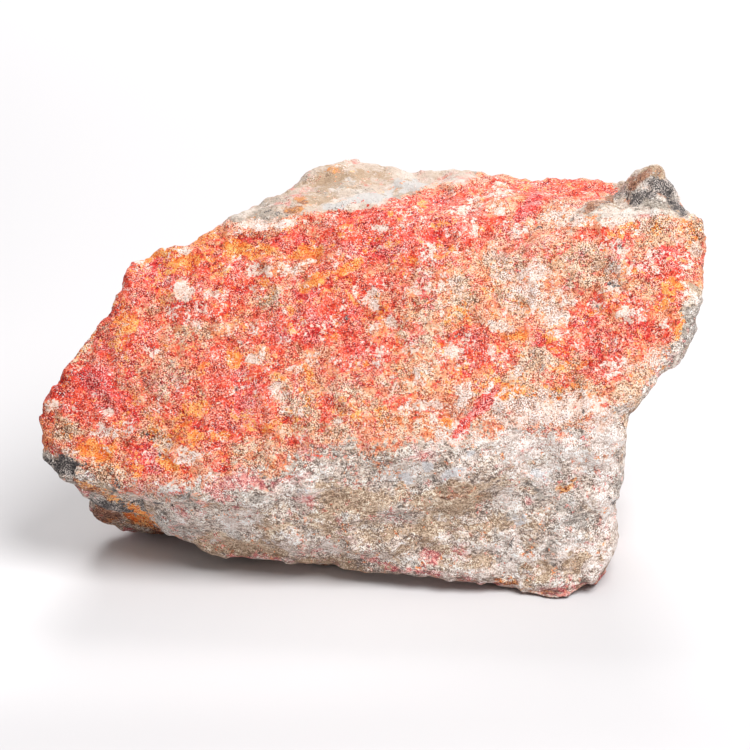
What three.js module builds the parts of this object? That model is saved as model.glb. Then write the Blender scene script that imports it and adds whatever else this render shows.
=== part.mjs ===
// Raw realgar: one rough hand specimen, broken from a vein and lying on a broken face.
// Units are millimetres, +Z up, +X along the stone's length, +Y towards its back. The origin is on
// the ground, in the middle of the stone's length and depth.
// The stone is a signed distance field: angular blocks, each the convex hull of a few corners, run
// into each other, lose what has broken away and are roughened by layers and noise. A sphere of
// even triangles is then shrunk onto that field, so the stone is one closed skin.
import * as THREE from "three";
import { ConvexGeometry } from "three/addons/geometries/ConvexGeometry.js";
import { ImprovedNoise } from "three/addons/math/ImprovedNoise.js";
import { mergeVertices } from "three/addons/utils/BufferGeometryUtils.js";

// ---- Driving dimensions ----
const EDGE_ROUNDING = 1.2; // width over which two faces of a block blend
const FILLET = 2; // width over which blocks and hollows blend

// Relief: the depth and the size of each kind, and its place in the noise
const LUMPS = { depth: 0.9, size: 19, seed: 3.1 };
const KNUCKLES = { depth: 0.8, size: 8.5, seed: 7.7 };
const GRIT = { depth: 0.5, size: 4.8, seed: 11.9 };

// The vein's layers stand out as ledges that waver, and fade away in places.
const LAYER_NORMAL = new THREE.Vector3(-0.07, -0.72, 0.69).normalize();
const LEDGE_DEPTH = 0.55;
const LAYER_THICKNESS = 5.5;
const WAVER = { depth: 0.9, size: 16, seed: 5.5 };
const FADE = { depth: 1.6, size: 21, seed: 14.3 };
const USUAL_LEDGE = 0.5; // share of LEDGE_DEPTH where nothing fades it or brings it out

// ---- The blocks that the stone is made of, by their corners ----
const BLOCKS = {
  // The main mass: the tilted realgar face, the grey face under it, the left tip and the back.
  body: [
    [-53.4, -17.5, 23.7], // left tip
    [-50.3, -13, 30],
    [-46.1, -9.5, 34.2],
    [-41, -1.5, 42.5],
    [-38, 1.5, 45.5],
    [-22.5, 5.5, 50.5], // left end of the ridge
    [-4.5, 5, 52.5],
    [25.5, 2, 52],
    [50, 0.5, 53], // right end of the ridge
    [51, -2.5, 50],
    [51, -7.5, 45],
    [49.8, -12.5, 39.8],
    [46, -16, 35.5],
    [40, -19.5, 31],
    [33.5, -21, 29], // right end of the shoulder
    [24.5, -23, 26],
    [1, -23, 24],
    [-26.5, -23.5, 20],
    [-37, -23.5, 18],
    [-47, -20.5, 15], // lower left edge
    [-52.6, -19, 19],
    [-39.5, -21, 15],
    [-34.5, -20, 12],
    [-30, -17, 5.5],
    [-25, -18, 3], // lower edge of the grey face
    [-14.5, -20.5, 3.2],
    [-1, -23, 3],
    [13, -24.5, 2.1],
    [30, -24.7, 1.3],
    [35.3, -24.3, 1.1],
    [36.5, -15, -1], // front of the broken face that the stone rests on
    [14, -15.5, -1],
    [-18, -8, -1.5],
    [-24, 14, -1],
    [-4, 25, -1],
    [26, 22, -1],
    [38, 8, -1],
    [39, 24, 14], // hidden side and back
    [44, 19, 38],
    [36, 24, 30],
    [12, 32, 22],
    [-18, 31, 24],
    [-36, 20, 27],
    [-44, 8, 22],
    [-34, 16, 8],
    [-11.5, 20, 52],
    [20.5, 22, 52.5],
    [38, 18, 53],
    [48, 8, 51.2],
  ],
  // The hump at the back of the top.
  hump: [
    [-20, 9, 49.5],
    [-12, 20, 52.5],
    [-9, 25.5, 54],
    [-5, 27, 55.3],
    [2, 27, 53.6],
    [12, 26.5, 51.9],
    [18, 26, 52.4],
    [22, 25.5, 51.8],
    [-19, 26, 40],
    [22, 27, 38],
    [0, 31.5, 24],
    [0, 11, 42],
  ],
  // The dark chip under the left end.
  chip: [
    [-46, -10.5, 11.5],
    [-47.2, -8, 6],
    [-46, -6, 1.5],
    [-39.5, -6, 0.5],
    [-33.5, -8, 2],
    [-28, -12, 4],
    [-43, -12.5, 16],
    [-30, -14, 12],
    [-36, 8, 3],
    [-43, 4, 16],
    [-28, 10, 1],
    [-26, 4, 16],
  ],
  // The dark knob at the right end of the top.
  knob: [
    [38.5, 13, 54],
    [41.5, 11, 58.2],
    [43.5, 9.5, 61],
    [45.5, 8.5, 60],
    [45.7, 8, 57.5],
    [48.6, 5.5, 53.5],
    [37.5, 6, 53.5],
    [42, 2.5, 54],
    [46.5, 11, 50],
    [40, 17, 50],
    [38, 8, 48],
  ],
};

// ---- What has broken away, by the corners of each missing wedge ----
const HOLLOWS = {
  // The right side stands in under the end of the realgar face.
  undercut: [
    [36, -40, 27],
    [37.5, 45, 27],
    [35.5, -40, -12],
    [37, 45, -12],
    [78, -40, -12],
    [78, 45, -12],
    [78, -40, 61.5],
    [78, 45, 61.5],
  ],
};

// Shell-shaped chips along the edges: where each one is centred and its radius.
const CHIPS = [
  { centre: [-34, 27, 47], radius: 13 },
  { centre: [47, 27, 44], radius: 12 },
  { centre: [20, 38, 12], radius: 14 },
  { centre: [-44, 22, 12], radius: 13 },
  { centre: [-24, 12, 63], radius: 11.5 },
];

// ---- The field ----
const noiseTable = new ImprovedNoise();

function noise(p, { depth, size, seed }) {
  return depth * noiseTable.noise(p.x / size + seed, p.y / size + 3 * seed, p.z / size - seed);
}

function ledges(p) {
  const level = p.dot(LAYER_NORMAL) / LAYER_THICKNESS + noise(p, WAVER);
  const share = THREE.MathUtils.clamp(USUAL_LEDGE + noise(p, FADE), 0, 1);
  return LEDGE_DEPTH * share * Math.sin(2 * Math.PI * level);
}

function roughness(p) {
  return noise(p, LUMPS) + noise(p, KNUCKLES) + noise(p, GRIT) + ledges(p);
}

// The outward planes of a convex hull, one for each distinct face.
const SAME_WAY = 0.999; // normals whose dot product is over this belong to one face

function planesOf(corners) {
  const hull = new ConvexGeometry(corners.map((corner) => new THREE.Vector3(...corner)));
  const position = hull.getAttribute("position");
  const planes = [];
  for (let i = 0; i < position.count; i += 3) {
    const [a, b, c] = [0, 1, 2].map((k) => new THREE.Vector3().fromBufferAttribute(position, i + k));
    const plane = new THREE.Plane().setFromCoplanarPoints(a, b, c);
    const known = planes.some((other) => other.normal.dot(plane.normal) > SAME_WAY);
    if (!known) planes.push(plane);
  }
  return planes;
}

function smoothMin(a, b, width) {
  const h = Math.max(width - Math.abs(a - b), 0) / width;
  return Math.min(a, b) - (h * h * width) / 4;
}
const smoothMax = (a, b, width) => -smoothMin(-a, -b, width);

function hullDistance(planes, p) {
  let distance = -Infinity;
  for (const plane of planes) distance = smoothMax(distance, plane.distanceToPoint(p), EDGE_ROUNDING);
  return distance;
}

const blocks = Object.values(BLOCKS).map(planesOf);
const hollows = Object.values(HOLLOWS).map(planesOf);
const chips = CHIPS.map(({ centre, radius }) => new THREE.Sphere(new THREE.Vector3(...centre), radius));

function stoneDistance(p) {
  let distance = Infinity;
  for (const planes of blocks) distance = smoothMin(distance, hullDistance(planes, p), FILLET);
  for (const planes of hollows) distance = smoothMax(distance, -hullDistance(planes, p), FILLET);
  for (const chip of chips) distance = smoothMax(distance, -chip.distanceToPoint(p), EDGE_ROUNDING);
  return Math.max(distance - roughness(p), -p.z);
}

// The field's slope, from four probes on a tetrahedron round the point.
const PROBE_STEP = 0.05;
const PROBES = [
  new THREE.Vector3(1, 1, 1),
  new THREE.Vector3(1, -1, -1),
  new THREE.Vector3(-1, 1, -1),
  new THREE.Vector3(-1, -1, 1),
];
const probe = new THREE.Vector3();

function slopeAt(p) {
  const slope = new THREE.Vector3();
  for (const offset of PROBES) {
    probe.copy(p).addScaledVector(offset, PROBE_STEP);
    slope.addScaledVector(offset, stoneDistance(probe) / (4 * PROBE_STEP));
  }
  return slope;
}

// ---- The skin ----
const SKIN_DIVISIONS = 21; // the skin has 20 * (SKIN_DIVISIONS + 1)^2 triangles
const SKIN_RADII = new THREE.Vector3(53, 33, 31); // the ellipsoid that spreads the first rays
const STONE_CENTRE = new THREE.Vector3(0, 3, 27); // inside the stone, where the rays start
const LONGEST_RAY = 90;
const HALVINGS = 20; // how often a ray is halved to find where it leaves the stone
const WELD = 1e-4; // corners of the unit sphere that are closer than this are one corner
const RELAX_PASSES = 70;
const RELAX_SHARE = 0.5; // share of the way to its neighbours' middle that one pass moves a point
const FAR_PULL = 1.5; // how much harder the far neighbours pull, which evens out the triangles
const SHARPEN_PASSES = 2;
const SHARPEN_SLACK = 0.5; // keeps the points of a flat or softly bent stretch where they are
const LONGEST_STEP = 0.8; // how far one sharpening pass may move a point
const CAUTION = 0.9; // share of the distance to the surface that one step covers
const LEAST_SLOPE = 0.5; // a gentler slope than this, squared, would throw a point too far
const FLAT_SNAP = 0.05; // points this close to the ground belong to the resting face

function castFromCentre(direction) {
  let near = 0;
  let far = LONGEST_RAY;
  for (let i = 0; i < HALVINGS; i++) {
    const middle = (near + far) / 2;
    const p = STONE_CENTRE.clone().addScaledVector(direction, middle);
    if (stoneDistance(p) < 0) near = middle;
    else far = middle;
  }
  return STONE_CENTRE.clone().addScaledVector(direction, near);
}

function moveOntoStone(p, steps) {
  for (let i = 0; i < steps; i++) {
    const slope = slopeAt(p);
    const stride = (CAUTION * stoneDistance(p)) / Math.max(slope.lengthSq(), LEAST_SLOPE);
    p.addScaledVector(slope, -stride);
  }
}

function neighboursIn(index, count) {
  const neighbours = Array.from({ length: count }, () => new Set());
  for (let i = 0; i < index.length; i += 3)
    for (let k = 0; k < 3; k++) {
      neighbours[index[i + k]].add(index[i + ((k + 1) % 3)]);
      neighbours[index[i + k]].add(index[i + ((k + 2) % 3)]);
    }
  return neighbours.map((set) => [...set]);
}

// The middle of a point's neighbours, in which the far ones weigh more.
function middleOf(p, around) {
  const middle = new THREE.Vector3();
  let total = 0;
  for (const q of around) {
    const weight = p.distanceTo(q) ** FAR_PULL;
    middle.addScaledVector(q, weight);
    total += weight;
  }
  return middle.divideScalar(total);
}

// Moves each point to where the tangent planes of the triangles round it meet, so that a point
// beside an edge of the stone comes to lie on the edge.
function sharpen(points, index) {
  const spreads = points.map(() => new THREE.Matrix3().multiplyScalar(SHARPEN_SLACK));
  const pulls = points.map(() => new THREE.Vector3());
  for (let i = 0; i < index.length; i += 3) {
    const corners = [index[i], index[i + 1], index[i + 2]];
    const foot = new THREE.Vector3();
    for (const n of corners) foot.addScaledVector(points[n], 1 / 3);
    moveOntoStone(foot, 2);
    const normal = slopeAt(foot).normalize();
    const { x, y, z } = normal;
    const spread = [x * x, x * y, x * z, x * y, y * y, y * z, x * z, y * z, z * z];
    for (const n of corners) {
      spread.forEach((value, k) => (spreads[n].elements[k] += value));
      pulls[n].addScaledVector(normal, normal.dot(foot) - normal.dot(points[n]));
    }
  }
  points.forEach((p, i) => {
    const step = pulls[i].applyMatrix3(spreads[i].invert());
    p.add(step.clampLength(0, LONGEST_STEP));
  });
}

function makeSkin() {
  const sphere = new THREE.IcosahedronGeometry(1, SKIN_DIVISIONS);
  sphere.deleteAttribute("normal");
  sphere.deleteAttribute("uv");
  const skin = mergeVertices(sphere, WELD);
  const position = skin.getAttribute("position");
  const points = [];
  for (let i = 0; i < position.count; i++) {
    const direction = new THREE.Vector3().fromBufferAttribute(position, i);
    points.push(castFromCentre(direction.multiply(SKIN_RADII).normalize()));
  }
  const neighbours = neighboursIn(skin.index.array, points.length);
  const around = neighbours.map((list) => list.map((n) => points[n]));
  for (let pass = 0; pass < RELAX_PASSES; pass++)
    points.forEach((p, i) => {
      p.lerp(middleOf(p, around[i]), RELAX_SHARE);
      moveOntoStone(p, 1);
    });
  for (const p of points) moveOntoStone(p, 3);
  for (let pass = 0; pass < SHARPEN_PASSES; pass++) sharpen(points, skin.index.array);
  points.forEach((p, i) => position.setXYZ(i, p.x, p.y, p.z < FLAT_SNAP ? 0 : p.z));
  return skin;
}

// ---- The specimen ----
function makeStone() {
  const skin = makeSkin();
  skin.computeBoundingBox();
  const { min, max } = skin.boundingBox;
  skin.translate(-(min.x + max.x) / 2, -(min.y + max.y) / 2, -min.z);
  skin.computeVertexNormals();
  const material = new THREE.MeshStandardMaterial({ color: 0xc8623f, roughness: 0.75, metalness: 0 });
  const stone = new THREE.Mesh(skin, material);
  stone.name = "realgar_stone";
  return stone;
}

const specimen = new THREE.Group();
specimen.add(makeStone());
export default specimen;
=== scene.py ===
"""Raw realgar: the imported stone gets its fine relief, its minerals, and a plain studio."""

import math

import bpy
import numpy as np
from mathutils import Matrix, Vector, noise
from mathutils.bvhtree import BVHTree


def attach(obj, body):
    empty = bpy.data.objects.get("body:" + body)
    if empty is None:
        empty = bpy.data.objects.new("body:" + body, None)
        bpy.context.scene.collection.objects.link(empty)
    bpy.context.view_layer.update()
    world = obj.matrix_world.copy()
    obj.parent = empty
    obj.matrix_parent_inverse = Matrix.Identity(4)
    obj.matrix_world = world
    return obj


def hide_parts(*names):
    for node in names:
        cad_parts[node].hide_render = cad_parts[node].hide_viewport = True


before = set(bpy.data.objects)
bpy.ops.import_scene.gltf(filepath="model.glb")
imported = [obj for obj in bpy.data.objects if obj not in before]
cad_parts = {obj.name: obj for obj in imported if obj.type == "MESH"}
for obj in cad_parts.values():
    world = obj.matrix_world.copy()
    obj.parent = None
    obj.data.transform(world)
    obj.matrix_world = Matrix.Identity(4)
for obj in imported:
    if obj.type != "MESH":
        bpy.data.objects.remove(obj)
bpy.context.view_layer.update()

MM = 0.001

# --- Camera, in mm and degrees. The object faces -Y. ---------------------------------------
LOOK_AT = np.array([0.125, -4.875, 27.0])
ELEVATION = math.radians(22)
DISTANCE = 395
LENS = 120
SENSOR = 36
PICTURE = 750  # pixels along each side of the picture

AHEAD = np.array([0, math.cos(ELEVATION), -math.sin(ELEVATION)])
ACROSS = np.array([1.0, 0, 0])
UPWARD = np.array([0, math.sin(ELEVATION), math.cos(ELEVATION)])
BACKWARD = np.array([0, 1 / math.sin(ELEVATION), 0])  # up in the picture, along the floor
EYE = LOOK_AT - DISTANCE * AHEAD

# --- The stone's form, in mm unless a comment says pixels. ----------------------------------
VOXEL = 0.505  # spacing of the fine mesh
CRUST_DEPTH = 5  # how far the realgar reaches into the stone
TOP_LEVEL = 46  # above this the stone's top is stained too
KNOB = (44.0, 5.0)  # (x, y) of the dark knob's tip
KNOB_RISE = .9  # how much sharper it stands than the smoothed blocks
KNOB_REACH = 3.4

# The stone's own directions, as columns: along its layers, across them, and down their dip.
LAYER_NORMAL = np.array([-0.071, -0.718, 0.692])
ALONG = np.array([1.0, 0, 0])
ALONG = ALONG - LAYER_NORMAL * (ALONG @ LAYER_NORMAL)
ALONG /= np.linalg.norm(ALONG)
LAYER_FRAME = np.stack([ALONG, LAYER_NORMAL, np.cross(ALONG, LAYER_NORMAL)], 1)

# (x, y) in the picture: the grey face starts below this line.
SHOULDER = [
    (30, 464), (60, 466), (100, 480), (130, 488), (180, 484), (220, 474), (260, 467), (300, 456),
    (380, 444), (440, 438), (480, 432), (560, 431), (600, 421), (640, 384), (662, 360), (682, 334),
    (692, 305), (720, 290),
]
SHOULDER_FADE = 24  # pixels over which the two run into each other

# (x, y) in the picture: the top is grey above this line.
RIDGE = [
    (0, 250), (235, 222), (300, 216), (345, 212), (380, 205), (400, 199), (440, 187), (480, 175),
    (500, 165), (750, 160),
]

# Where the outline stands out or in from the smoothed blocks, as seen in the picture:
# (x, y, shift to the right, shift up, reach), all in pixels.
NUDGES = [
    (48, 425, -3, 0, 32), (60, 378, -5, 4, 22), (138, 263, -11, 5, 18), (698, 216, 3, 2, 20),
    (682, 362, 5, -3, 24), (400, 578, 0, 7, 36), (612, 572, -9, -5, 22), (125, 532, 0, 4, 18),
    (350, 163, 0, 3, 20), (424, 168, 0, -8, 18), (560, 176, 0, -3, 40), (673, 180, -6, 0, 10),
    (707, 274, -3, 0, 20), (626, 186, 0, 4, 8), (550, 588, 0, -10, 30), (275, 562, 0, 5, 32),
    (200, 548, 0, 3, 24), (186, 242, 7, -3, 12), (245, 212, 0, 5, 12), (290, 190, 0, 3, 8),
    (334, 166, 0, 3, 9), (462, 176, 0, 6, 16), (502, 180, 0, 6, 18), (612, 182, 0, -4, 9),
    (652, 170, 0, 4, 10), (682, 202, -1, 0, 9), (500, 582, 0, -6, 12), (698, 326, -4, 0, 9),
    (706, 230, -3, 0, 9),
]

# --- Where the minerals show, in the picture's pixels. --------------------------------------
# Thin realgar veins: (x, y) of one end, (x, y) of the other, and half their width.
VEINS = [
    (454, 434, 469, 420, 1.2), (469, 420, 478, 409, 2.6), (478, 409, 489, 399, 4),
    (489, 399, 498, 386, 2.2), (518, 213, 540, 203, 1.8), (531, 198, 534, 216, 1.8),
    (520, 206, 540, 210, 1.2), (486, 236, 478, 250, 1.2),
]

# Patches of each mineral: (x, y, half length, half width, tilt, strength).
# Tilt is in degrees, up to the right.
PATCHES = {
    "red": [
        (290, 330, 16, 10, 0, .9), (240, 398, 12, 14, 60, .5), (640, 322, 14, 12, 0, .5),
        (540, 205, 12, 5, 30, .5), (365, 250, 28, 8, 0, .6), (155, 270, 18, 8, 0, .6),
        (210, 311, 10, 7, 0, .6), (254, 335, 9, 12, 0, .6), (496, 350, 10, 9, 0, 1),
        (562, 350, 10, 10, 0, .9), (232, 390, 9, 8, 0, .5), (606, 410, 9, 6, 0, .7),
        (550, 250, 16, 7, 0, .4), (628, 250, 24, 6, 0, .3), (540, 450, 9, 4, 0, .5),
        (474, 350, 10, 10, 0, .5), (562, 340, 10, 12, 0, .6), (496, 390, 10, 6, 0, .5),
        (155, 270, 14, 8, 0, .5), (298, 330, 12, 8, 0, .5), (276, 350, 10, 8, 0, .5),
        (616, 410, 12, 6, 0, .5), (155, 458, 14, 10, 0, .5), (610, 188, 10, 4, -10, .5),
        (672, 211, 12, 3, -10, .5), (512, 448, 8, 4, 0, .6), (150, 468, 16, 6, 0, .5),
        (104, 335, 26, 50, -25, .6), (58, 385, 14, 22, -20, .7), (330, 272, 16, 8, 0, .7),
        (212, 358, 20, 16, 0, .6), (186, 398, 18, 14, 0, .6), (505, 360, 22, 14, 0, .5),
        (474, 390, 12, 8, 0, .7), (606, 408, 24, 8, 0, .5), (405, 228, 82, 34, 6, .9),
        (625, 328, 58, 34, -10, .5), (352, 300, 34, 20, 20, .5), (85, 390, 30, 34, 30, .9),
        (240, 400, 34, 42, 60, .7), (300, 322, 44, 26, 5, .6), (472, 345, 18, 34, 80, .8),
        (142, 457, 14, 17, 0, .9), (668, 266, 32, 18, 10, .5), (550, 189, 66, 10, 0, .9),
        (362, 356, 26, 18, 0, .7), (600, 365, 22, 16, 0, .8), (225, 275, 36, 18, 0, .5),
        (470, 193, 18, 7, -15, .6), (486, 401, 22, 6, 50, 1.4), (464, 427, 18, 5, 44, 1.3),
        (130, 345, 30, 18, 30, .7), (215, 432, 30, 14, 0, .6), (435, 205, 44, 12, 10, .7),
        (152, 272, 30, 20, 10, .8), (115, 400, 12, 26, 70, .7), (205, 300, 40, 20, 20, .6),
        (125, 315, 14, 24, 20, .5), (290, 240, 36, 10, 0, .6), (420, 250, 40, 16, 0, .6),
        (600, 235, 40, 8, 0, .5), (500, 225, 26, 10, 10, .6), (345, 400, 26, 10, 0, .3),
        (70, 400, 26, 14, -60, .6), (322, 405, 10, 14, 0, .7), (385, 295, 26, 20, 0, .4),
        (440, 350, 8, 24, 10, .5), (395, 350, 20, 12, 0, .4), (120, 430, 24, 14, 0, .4),
        (260, 425, 16, 10, 0, .6), (555, 378, 26, 8, 0, .5), (295, 441, 5, 4, 0, .9),
        (318, 455, 5, 3, 0, .8), (402, 547, 4, 3, 0, .7), (251, 476, 6, 4, 0, .5),
        (218, 469, 8, 4, 0, .7), (298, 490, 3, 3, 0, .8),
    ],
    "orange": [
        (507, 390, 12, 5, 20, .8), (452, 418, 9, 7, 0, .6), (238, 249, 9, 9, 0, .8),
        (440, 226, 14, 6, 0, .6), (300, 254, 16, 6, 10, .4), (232, 362, 9, 8, 0, .5),
        (518, 420, 5, 4, 0, .8), (536, 398, 6, 4, 0, .8), (562, 398, 5, 4, 0, .7),
        (590, 410, 6, 4, 0, .6), (500, 432, 6, 3, 0, .7), (237, 246, 15, 11, 0, 1.5),
        (262, 252, 20, 10, 0, .4), (305, 252, 18, 8, 10, .9), (98, 450, 15, 11, 0, 1.2),
        (168, 461, 14, 7, -35, 1), (316, 282, 18, 5, 35, 1), (348, 265, 14, 5, 45, 1),
        (338, 328, 5, 11, 0, .9), (232, 362, 10, 9, 0, 1), (506, 389, 10, 6, 0, 1),
        (450, 424, 9, 10, 0, 1), (552, 339, 7, 8, 0, 1), (509, 336, 7, 4, 0, 1),
        (672, 287, 13, 6, 0, .9), (676, 340, 6, 26, -22, .8), (688, 232, 10, 16, 0, .5),
        (119, 302, 10, 22, 25, .7), (158, 257, 24, 6, 15, .8), (205, 240, 18, 8, 25, .6),
        (197, 435, 5, 4, 0, 1), (221, 434, 6, 5, 0, 1), (140, 516, 27, 7, -30, 1.2),
        (104, 490, 20, 4, -22, 1), (548, 388, 12, 5, 0, .4), (445, 247, 10, 6, 0, .9),
        (632, 270, 14, 5, -20, .8), (185, 262, 28, 8, 15, .7), (150, 372, 18, 10, 0, .4),
        (340, 410, 26, 10, -10, .2), (125, 322, 14, 10, 0, .5), (220, 262, 12, 14, 0, .4),
        (640, 232, 26, 8, 0, .5), (410, 265, 20, 10, 0, .4), (295, 380, 20, 16, 0, .3),
        (135, 470, 6, 12, 0, .5), (665, 300, 8, 10, 0, .5), (378, 481, 4, 3, 0, .8),
        (256, 501, 5, 3, 0, .9), (360, 519, 4, 3, 0, .8), (505, 578, 14, 3, 8, .9),
        (598, 511, 4, 4, 0, .6), (600, 452, 4, 3, 0, .8), (292, 210, 12, 5, 15, .3),
        (338, 167, 10, 5, 10, .2), (568, 486, 8, 4, 10, .7), (200, 410, 10, 12, 0, .5),
        (630, 404, 10, 3, 15, .4),
    ],
    "crimson": [
        (476, 413, 24, 4, 48, .8), (286, 332, 16, 9, 0, .8), (240, 400, 10, 10, 0, .4),
        (150, 462, 14, 12, 0, .9), (505, 418, 5, 3, 20, .9), (528, 408, 4, 3, 0, .9),
        (546, 420, 6, 3, 0, .8), (572, 408, 5, 4, 0, .8), (558, 432, 6, 3, 0, .8),
        (158, 272, 18, 11, 0, .9), (302, 333, 15, 8, 0, 1.1), (277, 334, 12, 9, 0, .7),
        (96, 378, 14, 10, 0, .9), (245, 398, 20, 12, 60, .5), (142, 454, 11, 13, 0, 1.1),
        (527, 210, 18, 5, 42, 1.5), (538, 204, 5, 4, 0, 1.2), (542, 341, 12, 13, 0, .9),
        (307, 239, 9, 4, 0, 1), (310, 295, 14, 8, 0, .8), (386, 313, 9, 4, -10, 1),
        (436, 416, 11, 5, 0, 1), (662, 255, 15, 9, 0, .9), (585, 439, 9, 4, 0, 1),
        (355, 384, 7, 4, 0, .9), (605, 345, 16, 11, 0, .3), (640, 325, 18, 14, 0, .25),
        (135, 424, 5, 16, 10, .7), (390, 248, 24, 10, 0, .6), (230, 262, 12, 5, 0, .7),
        (352, 252, 10, 8, 0, .6), (250, 236, 8, 4, 0, .7), (205, 290, 10, 8, 0, .6),
        (240, 378, 6, 8, 0, .3), (465, 365, 10, 10, 0, .5), (130, 375, 6, 10, 30, .5),
        (84, 458, 12, 3, -10, .7), (330, 322, 10, 6, 0, .6), (650, 262, 20, 10, 0, .3),
        (455, 435, 8, 3, 20, .5), (590, 320, 16, 10, 0, .25), (222, 470, 8, 4, 0, .5),
        (530, 496, 4, 2, 0, .8), (300, 456, 14, 2, 5, .5), (420, 566, 24, 2, -5, .5),
    ],
    "cream": [
        (548, 414, 32, 11, 0, 1.1), (508, 410, 16, 12, 0, 1), (600, 420, 18, 9, 20, .9),
        (466, 400, 14, 7, 40, .8), (510, 277, 24, 12, 0, .7), (557, 310, 18, 7, -10, .9),
        (374, 300, 12, 8, 0, .5), (505, 185, 12, 5, 0, .3), (405, 228, 14, 8, 0, .3),
        (457, 188, 14, 5, 0, .3), (455, 212, 14, 6, 0, .5), (496, 210, 12, 6, 0, .4),
        (518, 230, 16, 8, 0, .5), (430, 250, 12, 8, 0, .5), (496, 250, 10, 8, 0, .5),
        (430, 270, 12, 6, 0, .3), (628, 270, 30, 7, 0, .4), (696, 250, 6, 10, 0, .7),
        (254, 270, 10, 7, 0, .5), (220, 290, 16, 7, 0, .5), (276, 290, 10, 7, 0, .5),
        (176, 311, 12, 5, 0, .4), (342, 310, 8, 6, 0, .4), (320, 330, 8, 7, 0, .5),
        (232, 330, 9, 7, 0, .5), (662, 322, 10, 12, 0, .3), (408, 350, 9, 7, 0, .5),
        (298, 370, 9, 7, 0, .5), (518, 370, 9, 7, 0, .5), (468, 392, 8, 10, 0, .6),
        (408, 410, 10, 7, 0, .5), (500, 410, 30, 7, 0, .3), (456, 430, 14, 7, 0, .6),
        (518, 430, 12, 6, 0, .4), (188, 450, 12, 6, 0, .7), (342, 450, 12, 6, 0, .5),
        (276, 395, 12, 8, 0, .6), (290, 412, 14, 6, 0, .6), (430, 410, 22, 6, 0, .5),
        (474, 430, 10, 6, 0, .6), (474, 388, 8, 5, 0, .5), (463, 250, 14, 6, 0, .6),
        (430, 270, 10, 6, 0, .5), (166, 250, 10, 5, 0, .5), (200, 310, 10, 5, 0, .2),
        (254, 330, 8, 8, 0, .5), (78, 370, 8, 8, 0, .4), (100, 430, 8, 8, 0, .4),
        (606, 370, 10, 8, 0, .4), (560, 214, 20, 4, 10, .6), (620, 268, 14, 8, 0, .4),
        (612, 285, 14, 8, 0, .4), (552, 305, 20, 16, 0, .7), (620, 318, 10, 8, 0, .3),
        (452, 352, 10, 10, 0, .5), (470, 412, 40, 12, 0, .4), (515, 430, 16, 8, 0, .4),
        (184, 291, 10, 10, 0, 1.3), (184, 253, 9, 5, 10, 1), (268, 224, 26, 5, 0, 1),
        (381, 227, 7, 4, 10, 1), (394, 268, 7, 4, 0, 1), (334, 261, 2, 5, 10, 1.2),
        (257, 358, 10, 3, 35, .9), (311, 354, 7, 4, 0, .6), (386, 326, 17, 6, 0, .6),
        (436, 404, 12, 4, 10, 1), (554, 318, 17, 8, 0, .8), (502, 326, 8, 6, 0, 1),
        (619, 316, 5, 5, 0, .8), (520, 398, 40, 14, 0, .55), (556, 412, 50, 16, 10, .65),
        (530, 220, 26, 6, 20, .4), (600, 222, 60, 4, 0, .7), (270, 272, 20, 6, 20, .6),
        (517, 278, 28, 18, 0, .6), (104, 412, 8, 5, 0, .7), (688, 296, 5, 14, 15, .9),
        (114, 434, 8, 6, 0, .6), (425, 372, 14, 14, 0, .6), (490, 200, 26, 8, 15, .6),
        (172, 313, 9, 6, 0, .3), (340, 423, 7, 3, 0, 1), (205, 325, 18, 10, 0, .2),
        (490, 347, 5, 8, 0, .4), (628, 252, 10, 8, 0, .7), (470, 226, 5, 8, 0, .7),
        (55, 407, 7, 6, 0, .7), (640, 360, 20, 12, 20, .5), (180, 452, 18, 6, -35, .6),
        (425, 290, 18, 8, 0, .4), (300, 266, 12, 5, 30, .6), (150, 352, 12, 6, 0, .5),
        (345, 164, 12, 3, 0, .5), (590, 420, 12, 10, 0, .5), (75, 452, 10, 4, -10, .7),
        (450, 437, 24, 5, 0, .6), (310, 362, 8, 6, 0, .4), (430, 425, 14, 8, 0, .5),
    ],
    "tan": [
        (250, 455, 22, 10, 0, .8), (238, 447, 12, 8, 0, .6), (694, 226, 10, 12, 0, .7),
        (694, 236, 8, 26, 0, .8), (672, 236, 20, 10, 0, .4), (646, 290, 16, 8, 0, .4),
        (180, 300, 14, 10, 0, .4), (374, 300, 18, 12, 0, .6), (585, 358, 26, 14, 0, .6),
        (300, 408, 26, 14, 0, .9), (552, 258, 20, 14, 0, .5), (262, 450, 20, 8, 0, .7),
        (420, 432, 20, 6, 0, .6), (176, 382, 22, 20, 0, .7), (285, 396, 16, 20, 0, .9),
        (145, 310, 14, 8, 0, .6), (272, 302, 24, 12, 0, .9), (350, 404, 42, 20, 0, .6),
        (425, 335, 26, 50, 0, .5), (583, 266, 38, 24, 0, .6), (552, 362, 42, 11, 0, .8),
        (461, 297, 14, 22, 0, 1), (68, 428, 14, 12, 0, 1), (110, 331, 14, 12, 20, 1),
        (82, 355, 12, 20, -40, 1), (320, 430, 46, 10, 0, .8), (625, 402, 14, 26, -20, 1),
        (655, 232, 34, 12, 0, .6), (150, 440, 22, 14, -20, .8), (395, 425, 20, 12, 0, .6),
        (95, 472, 34, 14, -20, .9), (295, 390, 24, 22, 0, .5), (506, 262, 22, 16, 0, .8),
        (205, 335, 30, 14, 0, .5), (520, 300, 30, 14, 0, .6), (530, 390, 70, 24, 5, .6),
        (400, 380, 20, 16, 0, .6), (640, 372, 12, 14, -20, .6), (130, 290, 12, 8, 0, .5),
        (200, 400, 16, 16, 0, .5),
    ],
    "bare": [
        (640, 208, 42, 9, 0, 1.4), (618, 199, 16, 6, 28, 1.2), (658, 186, 36, 20, 0, 1.7),
        (640, 171, 26, 16, 0, 1.9), (632, 214, 42, 7, 0, .8), (688, 213, 10, 6, -40, 1),
        (596, 206, 22, 6, 24, .9), (60, 466, 20, 9, -30, 1.2), (90, 484, 30, 8, -20, 1.2),
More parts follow.
